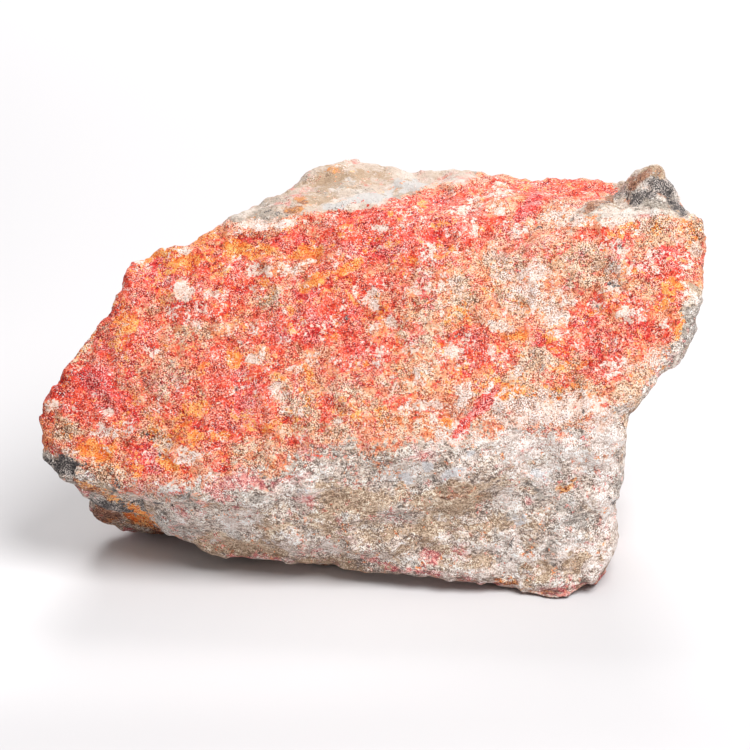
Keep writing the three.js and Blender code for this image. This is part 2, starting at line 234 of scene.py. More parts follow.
        (690, 320, 8, 34, -8, 1.3), (668, 366, 22, 7, 38, 1.1),
    ],
    "ochre": [
        (338, 167, 10, 4, 20, .7), (338, 167, 12, 7, 10, .4), (296, 208, 22, 6, 12, .7),
        (265, 216, 20, 4, 12, .6), (630, 184, 6, 3, 40, .5), (130, 513, 36, 6, -30, 1.3),
        (100, 492, 26, 4, -25, 1.2), (112, 519, 20, 8, -20, .5), (568, 486, 12, 5, 8, .9),
        (505, 580, 16, 4, -6, 1.2), (440, 578, 40, 3, -6, .6), (598, 508, 4, 6, 0, .9),
        (604, 456, 4, 6, 0, .8), (585, 560, 10, 8, 0, .5), (500, 432, 12, 4, 0, .6),
        (650, 372, 18, 8, 30, .6), (476, 520, 12, 5, -20, .5), (245, 556, 20, 3, -20, .7),
    ],
    "pale": [
        (256, 211, 22, 6, 20, .9), (350, 204, 34, 5, 10, .5), (590, 460, 16, 8, 0, .6),
        (588, 500, 12, 8, 0, .5), (280, 500, 16, 8, 0, .5), (400, 545, 20, 8, 0, .4),
        (255, 212, 16, 5, 20, .6), (340, 190, 24, 8, 0, .4), (300, 490, 30, 10, 0, .6),
        (255, 512, 20, 8, 0, .5), (562, 452, 24, 6, 0, .6), (540, 474, 20, 8, 0, .5),
        (510, 500, 14, 12, 0, .5), (606, 510, 8, 16, 0, .5), (205, 452, 24, 6, 0, .7),
        (240, 518, 24, 12, 0, .5), (308, 490, 20, 8, 0, .6), (460, 470, 16, 8, 0, .5),
        (518, 474, 14, 8, 0, .5), (590, 468, 30, 8, 0, .6), (606, 436, 22, 14, 0, .8),
        (552, 486, 16, 6, 0, .4), (625, 213, 34, 5, 0, .6), (556, 216, 30, 5, 5, .3),
        (368, 204, 26, 4, 12, .7), (352, 178, 10, 4, 0, .6), (315, 472, 26, 10, 8, .7),
        (400, 473, 24, 11, 4, .7), (170, 488, 34, 8, 8, .9), (240, 470, 40, 6, 12, .7),
        (458, 476, 14, 8, 0, .9), (500, 456, 46, 6, 0, .6), (330, 548, 14, 5, 0, .8),
        (607, 470, 8, 60, -4, .8), (270, 500, 30, 6, 8, .5), (400, 556, 30, 5, -5, .6),
        (520, 440, 50, 8, 0, .8), (450, 540, 20, 6, 0, .4), (400, 180, 16, 8, 0, .3),
        (335, 206, 16, 6, 8, .8), (300, 540, 26, 4, -3, .5),
    ],
    "olive": [
        (325, 180, 24, 8, 20, .6), (372, 178, 20, 7, 0, .5), (655, 173, 12, 7, -10, 1.6),
        (575, 565, 14, 10, 0, .6), (440, 497, 50, 8, -3, .7), (352, 503, 24, 8, 0, .6),
        (320, 530, 16, 8, 0, .5), (205, 500, 16, 8, -10, .4), (330, 536, 50, 16, 0, .5),
        (540, 572, 30, 10, 0, .6), (92, 488, 24, 8, -20, .6), (370, 500, 40, 12, 0, 1),
        (455, 498, 28, 16, 0, .8), (400, 522, 100, 34, 0, .5), (300, 528, 50, 18, -5, .5),
        (222, 544, 40, 11, -6, 1), (576, 565, 12, 20, 0, .9), (300, 520, 24, 8, -5, .6),
        (480, 560, 16, 8, 0, .7), (648, 174, 14, 6, 15, 1.4), (634, 184, 10, 5, 30, .9),
        (385, 178, 18, 8, 0, .1), (320, 559, 18, 5, 0, .5), (420, 520, 30, 8, 0, .4),
        (262, 552, 24, 6, 0, .7), (300, 190, 14, 8, 30, .3),
    ],
    "slate": [
        (410, 187, 18, 7, -10, .5), (540, 545, 18, 12, 0, .7), (514, 545, 12, 14, 0, .6),
        (500, 545, 3, 24, -3, .5), (520, 552, 26, 12, 0, .6), (520, 572, 16, 6, 0, .6),
        (562, 532, 14, 10, 0, .5), (175, 531, 20, 12, -20, .7), (560, 540, 36, 18, 0, .5),
        (92, 488, 20, 6, -20, .5), (657, 196, 32, 9, 0, 1.1), (112, 508, 26, 14, -20, 1.2),
        (628, 206, 22, 4, 0, .5), (545, 525, 36, 40, 0, .45), (402, 476, 22, 10, 0, .6),
        (346, 517, 6, 6, 0, .9), (170, 524, 16, 12, -30, .7), (536, 494, 20, 5, 0, .4),
        (512, 519, 6, 5, 0, .9), (520, 572, 8, 7, 0, 1), (390, 198, 18, 5, 0, .4),
        (508, 277, 9, 4, 0, .8), (489, 251, 9, 4, 0, .8), (586, 487, 8, 5, 0, .7),
        (600, 205, 30, 8, 25, .5), (689, 325, 8, 24, -8, .9), (440, 470, 20, 8, 0, .3),
        (555, 455, 20, 6, 0, .3),
    ],
    "rose": [
        (588, 424, 9, 6, 0, .9), (527, 446, 16, 5, 0, .6), (155, 474, 30, 10, 0, .8),
        (225, 472, 34, 8, 0, .7), (190, 508, 20, 8, 0, .5), (560, 450, 20, 8, 0, .6),
        (526, 447, 22, 9, 0, .8), (588, 424, 8, 8, 0, .9), (460, 182, 30, 6, -5, .5),
        (430, 574, 50, 5, -8, .8), (300, 560, 60, 4, -5, .5), (250, 485, 60, 6, 10, .4),
        (560, 404, 50, 20, 8, .5), (604, 520, 10, 50, -4, .5), (440, 555, 40, 7, -4, .5),
        (180, 530, 22, 6, -30, .5), (630, 370, 20, 16, 10, .5), (300, 200, 24, 4, 15, .4),
        (500, 470, 30, 12, 0, .3), (255, 215, 16, 4, 20, .5), (640, 215, 24, 5, -10, .5),
    ],
    "quartz": [
        (425, 466, 7, 5, 20, 1), (457, 473, 12, 6, 20, 1), (407, 478, 10, 5, 0, .9),
        (539, 471, 9, 4, -30, .8), (338, 206, 20, 4, 8, 1), (376, 200, 22, 5, 12, 1),
        (408, 185, 18, 6, 5, 1), (352, 177, 6, 3, -20, .9), (470, 452, 9, 4, 0, .7),
        (583, 425, 7, 5, 0, .8), (300, 492, 14, 5, 10, .7), (520, 520, 8, 12, 10, .6),
    ],
    "umber": [
        (294, 209, 12, 5, 10, 1.1), (641, 179, 15, 5, 28, 1.3), (655, 173, 12, 7, -10, .5),
        (662, 193, 8, 5, 0, .9), (598, 204, 22, 5, 28, .9), (664, 205, 14, 4, -5, .5),
        (575, 215, 14, 4, 20, .7), (106, 514, 20, 7, -20, 1.3), (92, 490, 26, 4, -25, .9),
        (150, 525, 22, 6, -32, .8), (460, 492, 20, 8, -4, .6), (350, 500, 20, 8, 0, .4),
    ],
    "dark": [
        (154, 448, 12, 5, -20, .4), (659, 187, 17, 8, -10, 1), (640, 197, 16, 6, 10, 1),
        (673, 203, 12, 6, -40, .8), (622, 195, 14, 5, 20, .6), (677, 206, 12, 5, -40, .9),
        (62, 469, 14, 8, -35, 1.2), (112, 510, 22, 13, -15, 1), (78, 462, 18, 4, -15, .8),
        (113, 486, 7, 6, 0, .8), (140, 506, 12, 4, -25, .9), (160, 506, 7, 2, 5, .9),
        (80, 389, 3, 3, 0, 1), (498, 347, 2, 3, 0, 1), (540, 367, 3, 4, 0, .9), (582, 415, 3, 3, 0, 1),
        (536, 227, 2, 3, 30, .8), (616, 283, 6, 1.5, -25, 1), (331, 263, 2, 6, -40, .9),
        # (285, 214) is painted shade: a dark line in the step between the red face and the grey top.
        (285, 214, 20, 1.5, 10, .9), (514, 545, 2, 22, -3, .8), (598, 208, 18, 5, 28, .5),
        (151, 438, 8, 2, -30, .8), (237, 386, 2, 8, 0, .8), (350, 318, 3, 6, 0, .4),
        (609, 500, 4, 6, 0, .7), (694, 335, 4, 20, -12, .4), (665, 366, 16, 5, 35, .5),
        (360, 425, 8, 3, -30, .7), (500, 421, 8, 2, 5, .6),
    ],
}
PATCH_SWAY = 7  # pixels by which noise shifts the patches' edges

# How much a patch adds to its mineral's field, and how much a vein does.
PATCH_GAIN = {
    "red": .85, "orange": .75, "crimson": .7, "cream": .8, "tan": .7, "dark": .95, "umber": .9,
    "quartz": .9,
}
PATCH_GAIN_ELSE = .65
VEIN_GAIN = {"red": 1.3, "orange": -1, "cream": -1, "dark": -1}


# --- Measuring -------------------------------------------------------------------------------
def project(points):
    """Where points show in the picture, in its pixels."""
    away = points - EYE
    depth = away @ AHEAD
    scale = PICTURE * LENS / SENSOR / depth
    return PICTURE / 2 + away @ ACROSS * scale, PICTURE / 2 - away @ UPWARD * scale


def smooth(value, low, high):
    """0 below low, 1 above high, and a soft step between."""
    t = np.clip((value - low) / (high - low), 0, 1)
    return t * t * (3 - 2 * t)


def fractal(points, size, seed=0.0, octaves=3, stretch=(1, 1, 1)):
    """Fractal noise of about -1 to 1; size is that of its largest lumps in mm."""
    scaled = points * np.array(stretch) / size + seed
    return np.array([noise.fractal(Vector(p), 1.0, 2.0, octaves) for p in scaled.tolist()])


def clasts(points, size, seed):
    """Angular lumps: 0 in the seams between them, about 1 in their middles."""
    scaled = points / size + seed
    gaps = [noise.voronoi(Vector(p))[0] for p in scaled.tolist()]
    gaps = np.array([gap[:2] for gap in gaps])
    return np.clip((gaps[:, 1] - gaps[:, 0]) * 1.6, 0, 1)


class Surface:
    """A closed mesh as numpy arrays, in mm."""

    def __init__(self, mesh):
        self.mesh = mesh
        self.tree = None
        self.points = np.empty(len(mesh.vertices) * 3, np.float32)
        mesh.vertices.foreach_get("co", self.points)
        self.points = self.points.reshape(-1, 3).astype(float) / MM
        edges = np.empty(len(mesh.edges) * 2, np.int32)
        mesh.edges.foreach_get("vertices", edges)
        self.a, self.b = edges.reshape(-1, 2).T
        count = len(self.points)
        self.degree = np.bincount(self.a, minlength=count) + np.bincount(self.b, minlength=count)

    def spread(self, values):
        """Each point's mean of its neighbours' values."""
        count = len(values)
        total = np.bincount(self.a, values[self.b], count)
        total = total + np.bincount(self.b, values[self.a], count)
        return total / self.degree

    def relax(self, passes, share):
        """Moves each point towards the middle of its neighbours."""
        for _ in range(passes):
            middle = np.stack([self.spread(self.points[:, k]) for k in range(3)], 1)
            self.points += share * (middle - self.points)

    def normals(self):
        self.store()
        found = np.empty(len(self.points) * 3, np.float32)
        self.mesh.vertices.foreach_get("normal", found)
        return found.reshape(-1, 3).astype(float)

    def store(self):
        """Writes the points back to the mesh."""
        self.mesh.vertices.foreach_set("co", (self.points * MM).astype(np.float32).ravel())
        self.mesh.update()

    def attribute(self, name, values):
        layer = self.mesh.attributes.new(name, "FLOAT", "POINT")
        layer.data.foreach_set("value", values.astype(np.float32))


def remeshed(source, voxel):
    """An even, closed copy of a mesh object's surface."""
    holder = bpy.data.objects.new("remesh_holder", source.data.copy())
    bpy.context.scene.collection.objects.link(holder)
    step = holder.modifiers.new("even", "REMESH")
    step.mode = "VOXEL"
    step.voxel_size = voxel * MM
    graph = bpy.context.evaluated_depsgraph_get()
    mesh = bpy.data.meshes.new_from_object(holder.evaluated_get(graph))
    bpy.data.objects.remove(holder)
    mesh.materials.clear()
    return mesh


# --- Relief ----------------------------------------------------------------------------------
def sharpen_knob(shape):
    """Lifts the knob's tip, which the remeshing and smoothing round off."""
    away = np.hypot(shape.points[:, 0] - KNOB[0], shape.points[:, 1] - KNOB[1])
    lift = KNOB_RISE * np.exp(-((away / KNOB_REACH) ** 2))
    shape.points[:, 2] += lift * smooth(shape.points[:, 2], 49, 55)


def nudge(shape):
    """Shifts the outline by NUDGES; the foot slides over the floor and its face stays flat."""
    away = shape.points - EYE
    pixel = (away @ AHEAD) * SENSOR / LENS / PICTURE
    px, py = project(shape.points)
    free = smooth(shape.points[:, 2], .2, 2)[:, None]
    for x, y, right, up, reach in NUDGES:
        share = (np.exp(-((px - x) ** 2 + (py - y) ** 2) / reach ** 2) * pixel)[:, None]
        shape.points += share * right * ACROSS
        shape.points += share * up * (free * UPWARD + (1 - free) * BACKWARD)


def crust_field(points, normals):
    """1 where the red crust covers the stone, 0 where the grey stone shows."""
    level = points @ LAYER_NORMAL
    face = np.percentile(level[(normals @ LAYER_NORMAL) > .97], 60)
    wide = fractal(points, 9, 4.1)
    px, py = project(points)
    crust = smooth(CRUST_DEPTH + 1.5 * wide - (face - level), -1.5, 2)
    over = np.interp(px, *zip(*SHOULDER)) - py + 16 * wide
    crust = crust * smooth(over, -SHOULDER_FADE, SHOULDER_FADE)
    top = smooth(points[:, 2], TOP_LEVEL - 2, TOP_LEVEL + 1) * smooth(normals[:, 2], .45, .75)
    below = py - np.interp(px, *zip(*RIDGE)) + 5 * wide
    high = smooth(points[:, 2], TOP_LEVEL - 8, TOP_LEVEL - 4)
    return np.maximum(crust, top) * (1 - high * smooth(-below, -4, 4))


def carve(shape):
    """Lays the relief over the smoothed blocks and keeps what the minerals follow."""
    shape.relax(6, .5)
    sharpen_knob(shape)
    nudge(shape)
    points = shape.points.copy()
    normals = shape.normals()
    crust = crust_field(points, normals)
    layers = fractal(points @ LAYER_FRAME, 5, 2.3, 4, (.18, 1, .3))
    lumps = fractal(points, 3.6, 8.8, 3)
    grains = fractal(points, 1.4, 5.2, 2)
    blocks = clasts(points, 2.4, 3.3)
    pits = smooth(fractal(points, 2.2, 1.7, 2), .25, .6)
    ridges = .25 - np.abs(fractal(points, 8, 13.9, 4))
    height = crust * (.3 * lumps + .24 * grains + .3 * blocks - .4 * pits)
    height += (1 - crust) * (.18 * lumps + .16 * grains + .5 * layers + .16 * blocks)
    height += 1.1 * ridges
    grounded = smooth(points[:, 2], .1, .8)  # the resting face stays flat
    shape.points = points + normals * (height * grounded)[:, None]
    shape.points[:, 2] = np.maximum(shape.points[:, 2], 0)
    shape.crust = crust
    # Painted shade: darker in the pits and in the seams between lumps and grains.
    shape.painted_shade = np.clip(.5 - (.35 * grains + .3 * lumps + .45 * blocks - .6 * pits), 0, 1)
    shape.store()
    faces = [tuple(face.vertices) for face in shape.mesh.polygons]
    shape.tree = BVHTree.FromPolygons(shape.points.tolist(), faces)


# --- Minerals --------------------------------------------------------------------------------
def patch_strength(name, shape, rough):
    """How strongly the patches of one mineral show at each point, 0 to about 1."""
    px, py = project(shape.points)
    px, py = px + shape.sway[0], py + shape.sway[1]
    total = np.zeros(len(px))
    for x, y, length, width, tilt, strength in PATCHES[name]:
        out = (x - PICTURE / 2) * SENSOR / LENS / PICTURE
        up = (PICTURE / 2 - y) * SENSOR / LENS / PICTURE
        ray = AHEAD + out * ACROSS + up * UPWARD
        hit = shape.tree.ray_cast(Vector(EYE), Vector(ray).normalized())[0]
        if hit is None:
            print("no stone under patch", name, x, y)
            continue
        turn = math.radians(tilt)
        along = (px - x) * math.cos(turn) - (py - y) * math.sin(turn)
        aside = (px - x) * math.sin(turn) + (py - y) * math.cos(turn)
        ragged = rough * (.2 + 1.2 / min(length, width))
        reach = np.hypot(along / length, aside / width) + ragged
        far = 4 + max(length, width) * .32  # mm from the point that the patch is seen on
        near = np.linalg.norm(shape.points - np.array(hit), axis=1) < far
        total = np.maximum(total, strength * near * smooth(-reach, -1.35, -.65))
    return total


def vein_strength(shape):
    """How strongly the thin realgar veins show at each point, 0 to 1."""
    px, py = project(shape.points)
    px, py = px + .25 * shape.sway[0], py + .25 * shape.sway[1]
    total = np.zeros(len(px))
    for x, y, to_x, to_y, half in VEINS:
        run = np.array((to_x - x, to_y - y), dtype=float)
        share = np.clip(((px - x) * run[0] + (py - y) * run[1]) / (run @ run), 0, 1)
        gap = np.hypot(px - x - share * run[0], py - y - share * run[1])
        total = np.maximum(total, smooth(-gap, -half - 2.2, -half + .8))
    return total * smooth(-(shape.normals() @ AHEAD), 0, .2)


def mineral_fields(shape, seen, edge):
    """Each mineral's field before its patches; the shader breaks the fields into grains."""
    points = shape.points
    broad = fractal(points, 8, 6.1, 3)
    other = fractal(points, 6, 9.4, 3)
    third = fractal(points, 5, 12.9, 3)
    fourth = fractal(points, 4, 15.5, 3)
    bands = fractal(points @ LAYER_FRAME, 9, 7.1, 3, (.25, 1, .35))
    host = 1 - np.clip(shape.crust - .9 * seen["bare"], 0, 1)
    rich = smooth(-points[:, 0], -30, 15)  # the left end holds more realgar
    front = smooth(-(shape.normals() @ AHEAD), .1, .4)  # the front follows its patches
    vary = .35 - .2 * front
    swathes = 1 + .9 * (1 - front)
    rim = smooth(-points[:, 2], -3, -.8)  # just above the floor
    red = .24 + .22 * rich + vary * broad + .15 * edge
    return {
        "crust": shape.crust - 1.4 * seen["bare"],
        "umber": -.2 + .2 * third + .25 * rim,
        "quartz": .3 * third - .2 * fourth,
        "ochre": -.12 + .3 * third + .2 * broad + .4 * rim,
        "blush": .3 + .3 * third - .1 * other - .4 * host,
        "amber": .3 - .3 * third + .1 * other - .4 * host,
        "red": red - .3 * seen["tan"] - .25 * seen["cream"] - .85 * host,
        "orange": .08 + .3 * other + .1 * edge + .06 * seen["red"] - .5 * host,
        "crimson": .06 + .2 * seen["red"] + .3 * third + .1 * edge - .5 * host,
        "cream": .1 - .06 * rich + .3 * fourth + .1 * edge - .2 * host,
        "tan": .24 - .12 * rich - vary * broad + .1 * edge - .3 * seen["red"] - .5 * host,
        "pale": .2 + .5 * swathes * bands + .15 * edge - .4 * seen["olive"] - .5 * seen["umber"],
        "olive": .22 + .45 * swathes * other + .2 * broad,
        "slate": .18 - .45 * swathes * broad + .2 * third - .3 * seen["olive"],
        "rose": .16 - .4 * other + .2 * fourth + .4 * rim,
        "dark": -.2 + .2 * third,
    }


def lay_painted_shade_and_tone(shape, seen, edge):
    """Painted shade in pits, on the foot and the left end; where the stone faces up, is even, and is
    flecked red.
    """
    points = shape.points
    up = shape.normals()[:, 2]
    # Painted shade low down, where the stone looks down, and on its left end.
    foot = smooth(-points[:, 2], -7, -1) * smooth(-up, -.2, .3)
    end = smooth(-points[:, 0], 36, 51)
    shape.attribute("painted_shade", shape.painted_shade + 1.2 * foot + .4 * end)
    faces_up = smooth(up + .1 * edge, .45, .8)
    shape.attribute("faces_up", faces_up)
    calm = 1 - .85 * faces_up * (1 - .6 * np.clip(seen["bare"], 0, 1))
    shape.attribute("calm", calm * (1 - .55 * np.clip(seen["quartz"], 0, 1)))
    shape.attribute("flecked", (1 - .85 * faces_up) * (1 - .9 * smooth(points[:, 2], 40, 44)))


def lay_minerals(shape):
    """Stores each mineral's field on the mesh, under the mineral's name."""
    edge = fractal(shape.points, 2.4, 3.3, 3)
    shape.sway = [PATCH_SWAY * fractal(shape.points, 4.5, seed, 4) for seed in (21.3, 34.8)]
    seen = {name: patch_strength(name, shape, edge) for name in PATCHES}
    vein = vein_strength(shape)
    for name, field in mineral_fields(shape, seen, edge).items():
        if name in seen:
            field = field + PATCH_GAIN.get(name, PATCH_GAIN_ELSE) * seen[name]
        shape.attribute(name, field + VEIN_GAIN.get(name, 0) * vein)
    lay_painted_shade_and_tone(shape, seen, edge)


# --- Colours ---------------------------------------------------------------------------------
LIGHT = 1.2  # how much brighter the red face shows than its own colour
HOST_LIGHT = .83  # the same for the grey face, which looks down a little
UPWARD_DARKENING = (.77, .75, .71)  # the grey stone is darker by this where it faces up
SPECK = (.19, .115, .09)  # and the dark specks by this
GLINT = (262, 244, 240)
GLINT_EDGE = (.84, .68, .66)  # a glint's darker rim

# From each mineral's darkest grains to its palest: (tone, red, green, blue), the colour in
# 8-bit values as they show in the studio's light. Past 255 they are brighter than white.
RAMPS = {
    "coral": [
        (0, 146, 56, 34), (.22, 224, 112, 78), (.45, 254, 158, 118), (.7, 263, 190, 148),
        (1, 270, 230, 204),
    ],
    "blush": [
        (0, 146, 50, 48), (.22, 226, 102, 90), (.45, 254, 147, 133), (.7, 263, 182, 168),
        (1, 270, 228, 220),
    ],
    "amber": [
        (0, 160, 70, 34), (.22, 236, 112, 60), (.45, 259, 149, 92), (.7, 266, 186, 130),
        (1, 270, 226, 184),
    ],
    "tan": [
        (0, 120, 74, 50), (.22, 208, 152, 116), (.45, 252, 198, 158), (.7, 263, 223, 190),
        (1, 270, 245, 225),
    ],
    "red": [
        (0, 120, 12, 12), (.22, 214, 42, 28), (.45, 254, 80, 51), (.7, 262, 118, 86),
        (1, 270, 190, 164),
    ],
    "orange": [
        (0, 212, 72, 20), (.22, 248, 110, 38), (.45, 261, 144, 60), (.7, 267, 176, 88),
        (1, 270, 212, 132),
    ],
    "crimson": [
        (0, 112, 8, 16), (.22, 204, 24, 28), (.45, 247, 56, 50), (.7, 261, 110, 98), (1, 269, 198, 190),
    ],
    "cream": [
        (0, 200, 150, 126), (.22, 244, 203, 180), (.45, 259, 228, 211), (.7, 266, 242, 231),
        (1, 270, 254, 250),
    ],
    "dark": [(0, 44, 41, 43), (.45, 100, 93, 91), (.75, 160, 148, 142), (1, 220, 208, 200)],
    "host": [
        (0, 100, 86, 78), (.25, 178, 158, 145), (.5, 218, 201, 189), (.75, 236, 224, 215),
        (1, 255, 249, 244),
    ],
    "pale": [(0, 172, 154, 144), (.35, 223, 207, 199), (.7, 240, 229, 223), (1, 253, 249, 245)],
    "olive": [(0, 122, 98, 78), (.35, 179, 153, 129), (.7, 208, 184, 161), (1, 238, 222, 205)],
    "slate": [(0, 100, 92, 86), (.35, 166, 155, 146), (.7, 198, 188, 179), (1, 236, 231, 226)],
    "quartz": [(0, 148, 143, 141), (.35, 199, 195, 195), (.7, 223, 220, 221), (1, 247, 246, 248)],
    "umber": [(0, 76, 46, 36), (.35, 148, 101, 78), (.7, 200, 152, 124), (1, 234, 200, 176)],
    "rose": [(0, 150, 66, 72), (.4, 222, 142, 134), (.7, 242, 192, 180), (1, 252, 232, 226)],
    "ochre": [(0, 110, 56, 32), (.3, 202, 128, 80), (.6, 236, 164, 100), (1, 252, 214, 160)],
}
SLAB_MINERALS = ("rose", "olive", "slate", "pale", "umber", "ochre", "quartz")
GRAIN_MINERALS = ("blush", "amber", "tan", "red", "crimson", "orange", "cream", "dark")


def seen_as(red, green, blue, light=LIGHT):
    """The colour of a surface that shows as these 8-bit values in the studio's light."""
    linear = [((value / 255 + .055) / 1.055) ** 2.4 for value in (red, green, blue)]
    return [min(value / light, .92) for value in linear]


class Nodes:
    """Short hands for building a material's node tree."""

    def __init__(self, name):
        self.material = bpy.data.materials.new(name)
        self.material.use_nodes = True
        self.tree = self.material.node_tree
        self.tree.nodes.clear()

    def add(self, kind, **settings):
        node = self.tree.nodes.new(kind)
        for key, value in settings.items():
            setattr(node, key, value)
        return node

    def feed(self, socket, value):
        """Links a socket, or sets a plain value on it."""
        if isinstance(value, bpy.types.NodeSocket):
            self.tree.links.new(value, socket)
        else:
            socket.default_value = value

    def math(self, operation, a, b=0.0, clamp=False):
        node = self.add("ShaderNodeMath", operation=operation, use_clamp=clamp)
        self.feed(node.inputs[0], a)
        self.feed(node.inputs[1], b)
        return node.outputs[0]

    def sum(self, *terms):
        """Adds up (value, weight) pairs."""
        total = 0.0
        for value, weight in terms:
            total = self.math("ADD", self.math("MULTIPLY", value, weight), total)
        return total

    def step(self, value, low, high):
        """0 below low, 1 above high, and a soft step between; low may be the greater."""
        node = self.add("ShaderNodeMapRange", interpolation_type="SMOOTHSTEP")
        self.feed(node.inputs["Value"], value)
        self.feed(node.inputs["From Min"], low)
        self.feed(node.inputs["From Max"], high)
        return node.outputs["Result"]

    def scale(self, vector, factor):
        node = self.add("ShaderNodeVectorMath", operation="SCALE")
        self.feed(node.inputs[0], vector)
        self.feed(node.inputs["Scale"], factor)
        return node.outputs[0]

    def mapping(self, vector, setting, value):
        """The vector turned or stretched; setting is Rotation or Scale."""
        node = self.add("ShaderNodeMapping")
        self.feed(node.inputs["Vector"], vector)
        node.inputs[setting].default_value = value
        return node.outputs[0]

    def mix(self, share, below, above):
        node = self.add("ShaderNodeMix", data_type="RGBA")
        self.feed(node.inputs[0], share)
        for slot, colour in ((6, below), (7, above)):
            linked = isinstance(colour, bpy.types.NodeSocket)
            self.feed(node.inputs[slot], colour if linked else (*colour, 1))
        return node.outputs[2]

    def darken(self, share, colour, factor):
        """The colour times factor where share is 1."""
        node = self.add("ShaderNodeMix", data_type="RGBA", blend_type="MULTIPLY")
        self.feed(node.inputs[0], share)
        self.feed(node.inputs[6], colour)
        self.feed(node.inputs[7], (*factor, 1))
        return node.outputs[2]

    def ramp(self, value, name, light):
        """One mineral's colours along a tone."""
        stops = RAMPS[name]
        node = self.add("ShaderNodeValToRGB")
        points = node.color_ramp.elements
        while len(points) < len(stops):
            points.new(.5)
        for point, (position, *shown) in zip(points, stops):
            point.position = position
            point.color = (*seen_as(*shown, light), 1)
        self.feed(node.inputs[0], value)
        return node.outputs[0]

    def attribute(self, name):
        return self.add("ShaderNodeAttribute", attribute_name=name).outputs["Fac"]

    def noise(self, vector, size, detail=2.0, rough=.5, output="Fac"):
        node = self.add("ShaderNodeTexNoise")
        self.feed(node.inputs["Vector"], vector)
        self.feed(node.inputs["Scale"], 1 / size)
        self.feed(node.inputs["Detail"], detail)
        self.feed(node.inputs["Roughness"], rough)
        return node.outputs[output]

    def parts(self, colour):
        """A colour's three values, each a socket."""
        node = self.add("ShaderNodeSeparateColor")
        self.feed(node.inputs[0], colour)
        return node.outputs[:3]

    def noises(self, vector, size, detail, rough):
        """Three noises of one size that have nothing to do with each other."""
        return self.parts(self.noise(vector, size, detail, rough, "Color"))

    def grains(self, vector, size):
        """Grains, each with three random values of its own."""
        node = self.add("ShaderNodeTexVoronoi")
        self.feed(node.inputs["Vector"], vector)
        self.feed(node.inputs["Scale"], 1 / size)
        return self.parts(node.outputs["Color"])

    def seams(self, vector, size):
        """How far it is to the nearest seam between such grains."""
        node = self.add("ShaderNodeTexVoronoi", feature="DISTANCE_TO_EDGE")
        self.feed(node.inputs["Vector"], vector)
        self.feed(node.inputs["Scale"], 1 / size)
        return node.outputs["Distance"]


# --- The stone's material --------------------------------------------------------------------
class StoneTextures:
    """The noises and grains that the stone's minerals are broken up with; sizes are in mm."""

    def __init__(self, n):
        mm = n.scale(n.add("ShaderNodeTexCoord").outputs["Object"], 1 / MM)
        shifted = n.add("ShaderNodeVectorMath", operation="ADD")
        n.feed(shifted.inputs[0], mm)
        n.feed(shifted.inputs[1], n.scale(n.noise(mm, .625, 2, .5, "Color"), .9))
        bent = shifted.outputs[0]
        turned = n.mapping(bent, "Rotation", (math.radians(-46), 0, 0))
        layered = n.mapping(turned, "Scale", (.22, .35, 1))
        slabby = n.mapping(turned, "Scale", (.45, .6, 1))
        self.grains = n.grains(bent, .31)
        self.clumps = n.grains(bent, .8)
        self.lumps = n.grains(bent, 1.9)
        self.chips = n.grains(slabby, .45)
        self.slabs = n.grains(slabby, 1.3)
        self.slab_seams = n.step(n.seams(slabby, 1.3), .06, 0)
        self.grit = n.noises(mm, .185, 1, .5)
        self.fine = n.noises(mm, .6, 3, .65)
        self.rough = n.noises(mm, 2.2, 4, .65)
        self.flaky = n.noises(slabby, 1.1, 4, .7)
        self.cluster = n.noise(mm, 4.5, 2, .5)
        self.streaks = n.noise(layered, .5, 4, .7)
        self.thin = n.math("ADD", n.noise(layered, .17, 2, .6), -.5)
        self.lively = n.step(n.noise(bent, 2.2, 3, .65), .38, .61)
        # Painted shade, which darkens the tone of both the crust and the grey stone.
        self.painted_shade = n.attribute("painted_shade")
        self.tan = n.math("MULTIPLY", n.attribute("tan"), 1, clamp=True)
        self.red = n.math("MULTIPLY", n.attribute("red"), 1, clamp=True)


def tones(n, t):
    """How dark or pale each grain is, about a middle of .45, in the crust and in the grey stone."""
    lively = n.math("ADD", n.math("MULTIPLY", t.lively, 1.4), .25)
    speckled = n.math("ADD", n.math("MULTIPLY", t.tan, .4), .72)
    coming = n.math("MULTIPLY", lively, speckled)  # the grit comes and goes
    grit = n.math("MULTIPLY", n.math("ADD", t.grit[0], -.5), coming)
    crust = n.sum(
        (grit, 4.3), (t.fine[0], .6), (t.grains[0], .5), (t.clumps[0], .25), (t.rough[0], .45),
        (t.painted_shade, -.35),
    )
    crust = n.math("ADD", crust, -.265)
    stone = n.sum(
        (grit, 2.6), (t.thin, 2.5), (t.streaks, .35), (t.chips[0], .14), (t.slabs[0], .12),
        (t.painted_shade, -.3), (t.slab_seams, -.1),
    )
    stone = n.math("MULTIPLY", n.math("ADD", stone, -.3), n.attribute("calm"))
    return crust, n.math("ADD", stone, .45)


def grain_mask(n, t, name, turn):
    """A mineral's share: its field, broken up by noises and grains of its own."""
    a, b, c = turn % 3, (turn + 1) % 3, (turn + 2) % 3
    total = n.sum(
        (n.attribute(name), 1.0), (t.fine[a], 1.1), (t.rough[b], .6), (t.grains[c], .4),
        (t.clumps[b], .45), (t.lumps[a], .4),
    )
    return n.step(total, 1.9, 1.98)


def slab_mask(n, t, name, turn):
    """The same for the grey stone, which breaks into flat chips."""
    a, b, c = turn % 3, (turn + 1) % 3, (turn + 2) % 3
    total = n.sum(
        (n.attribute(name), 1.0), (t.fine[a], .6), (t.flaky[b], 1.0), (t.chips[c], .3),
        (t.slabs[b], .3),
    )
    return n.step(total, 1.42, 1.72)


def fleck_mask(n, t, turn):
    """Small chips scattered over the grey stone."""
    total = n.sum(
        (t.chips[turn], 1.0), (t.fine[turn], .8), (t.rough[turn - 1], .6), (t.cluster, .3),
    )
    flecks = n.step(total, 1.88, 1.94)
    return n.math("MULTIPLY", flecks, n.math("MULTIPLY", n.attribute("flecked"), .42))


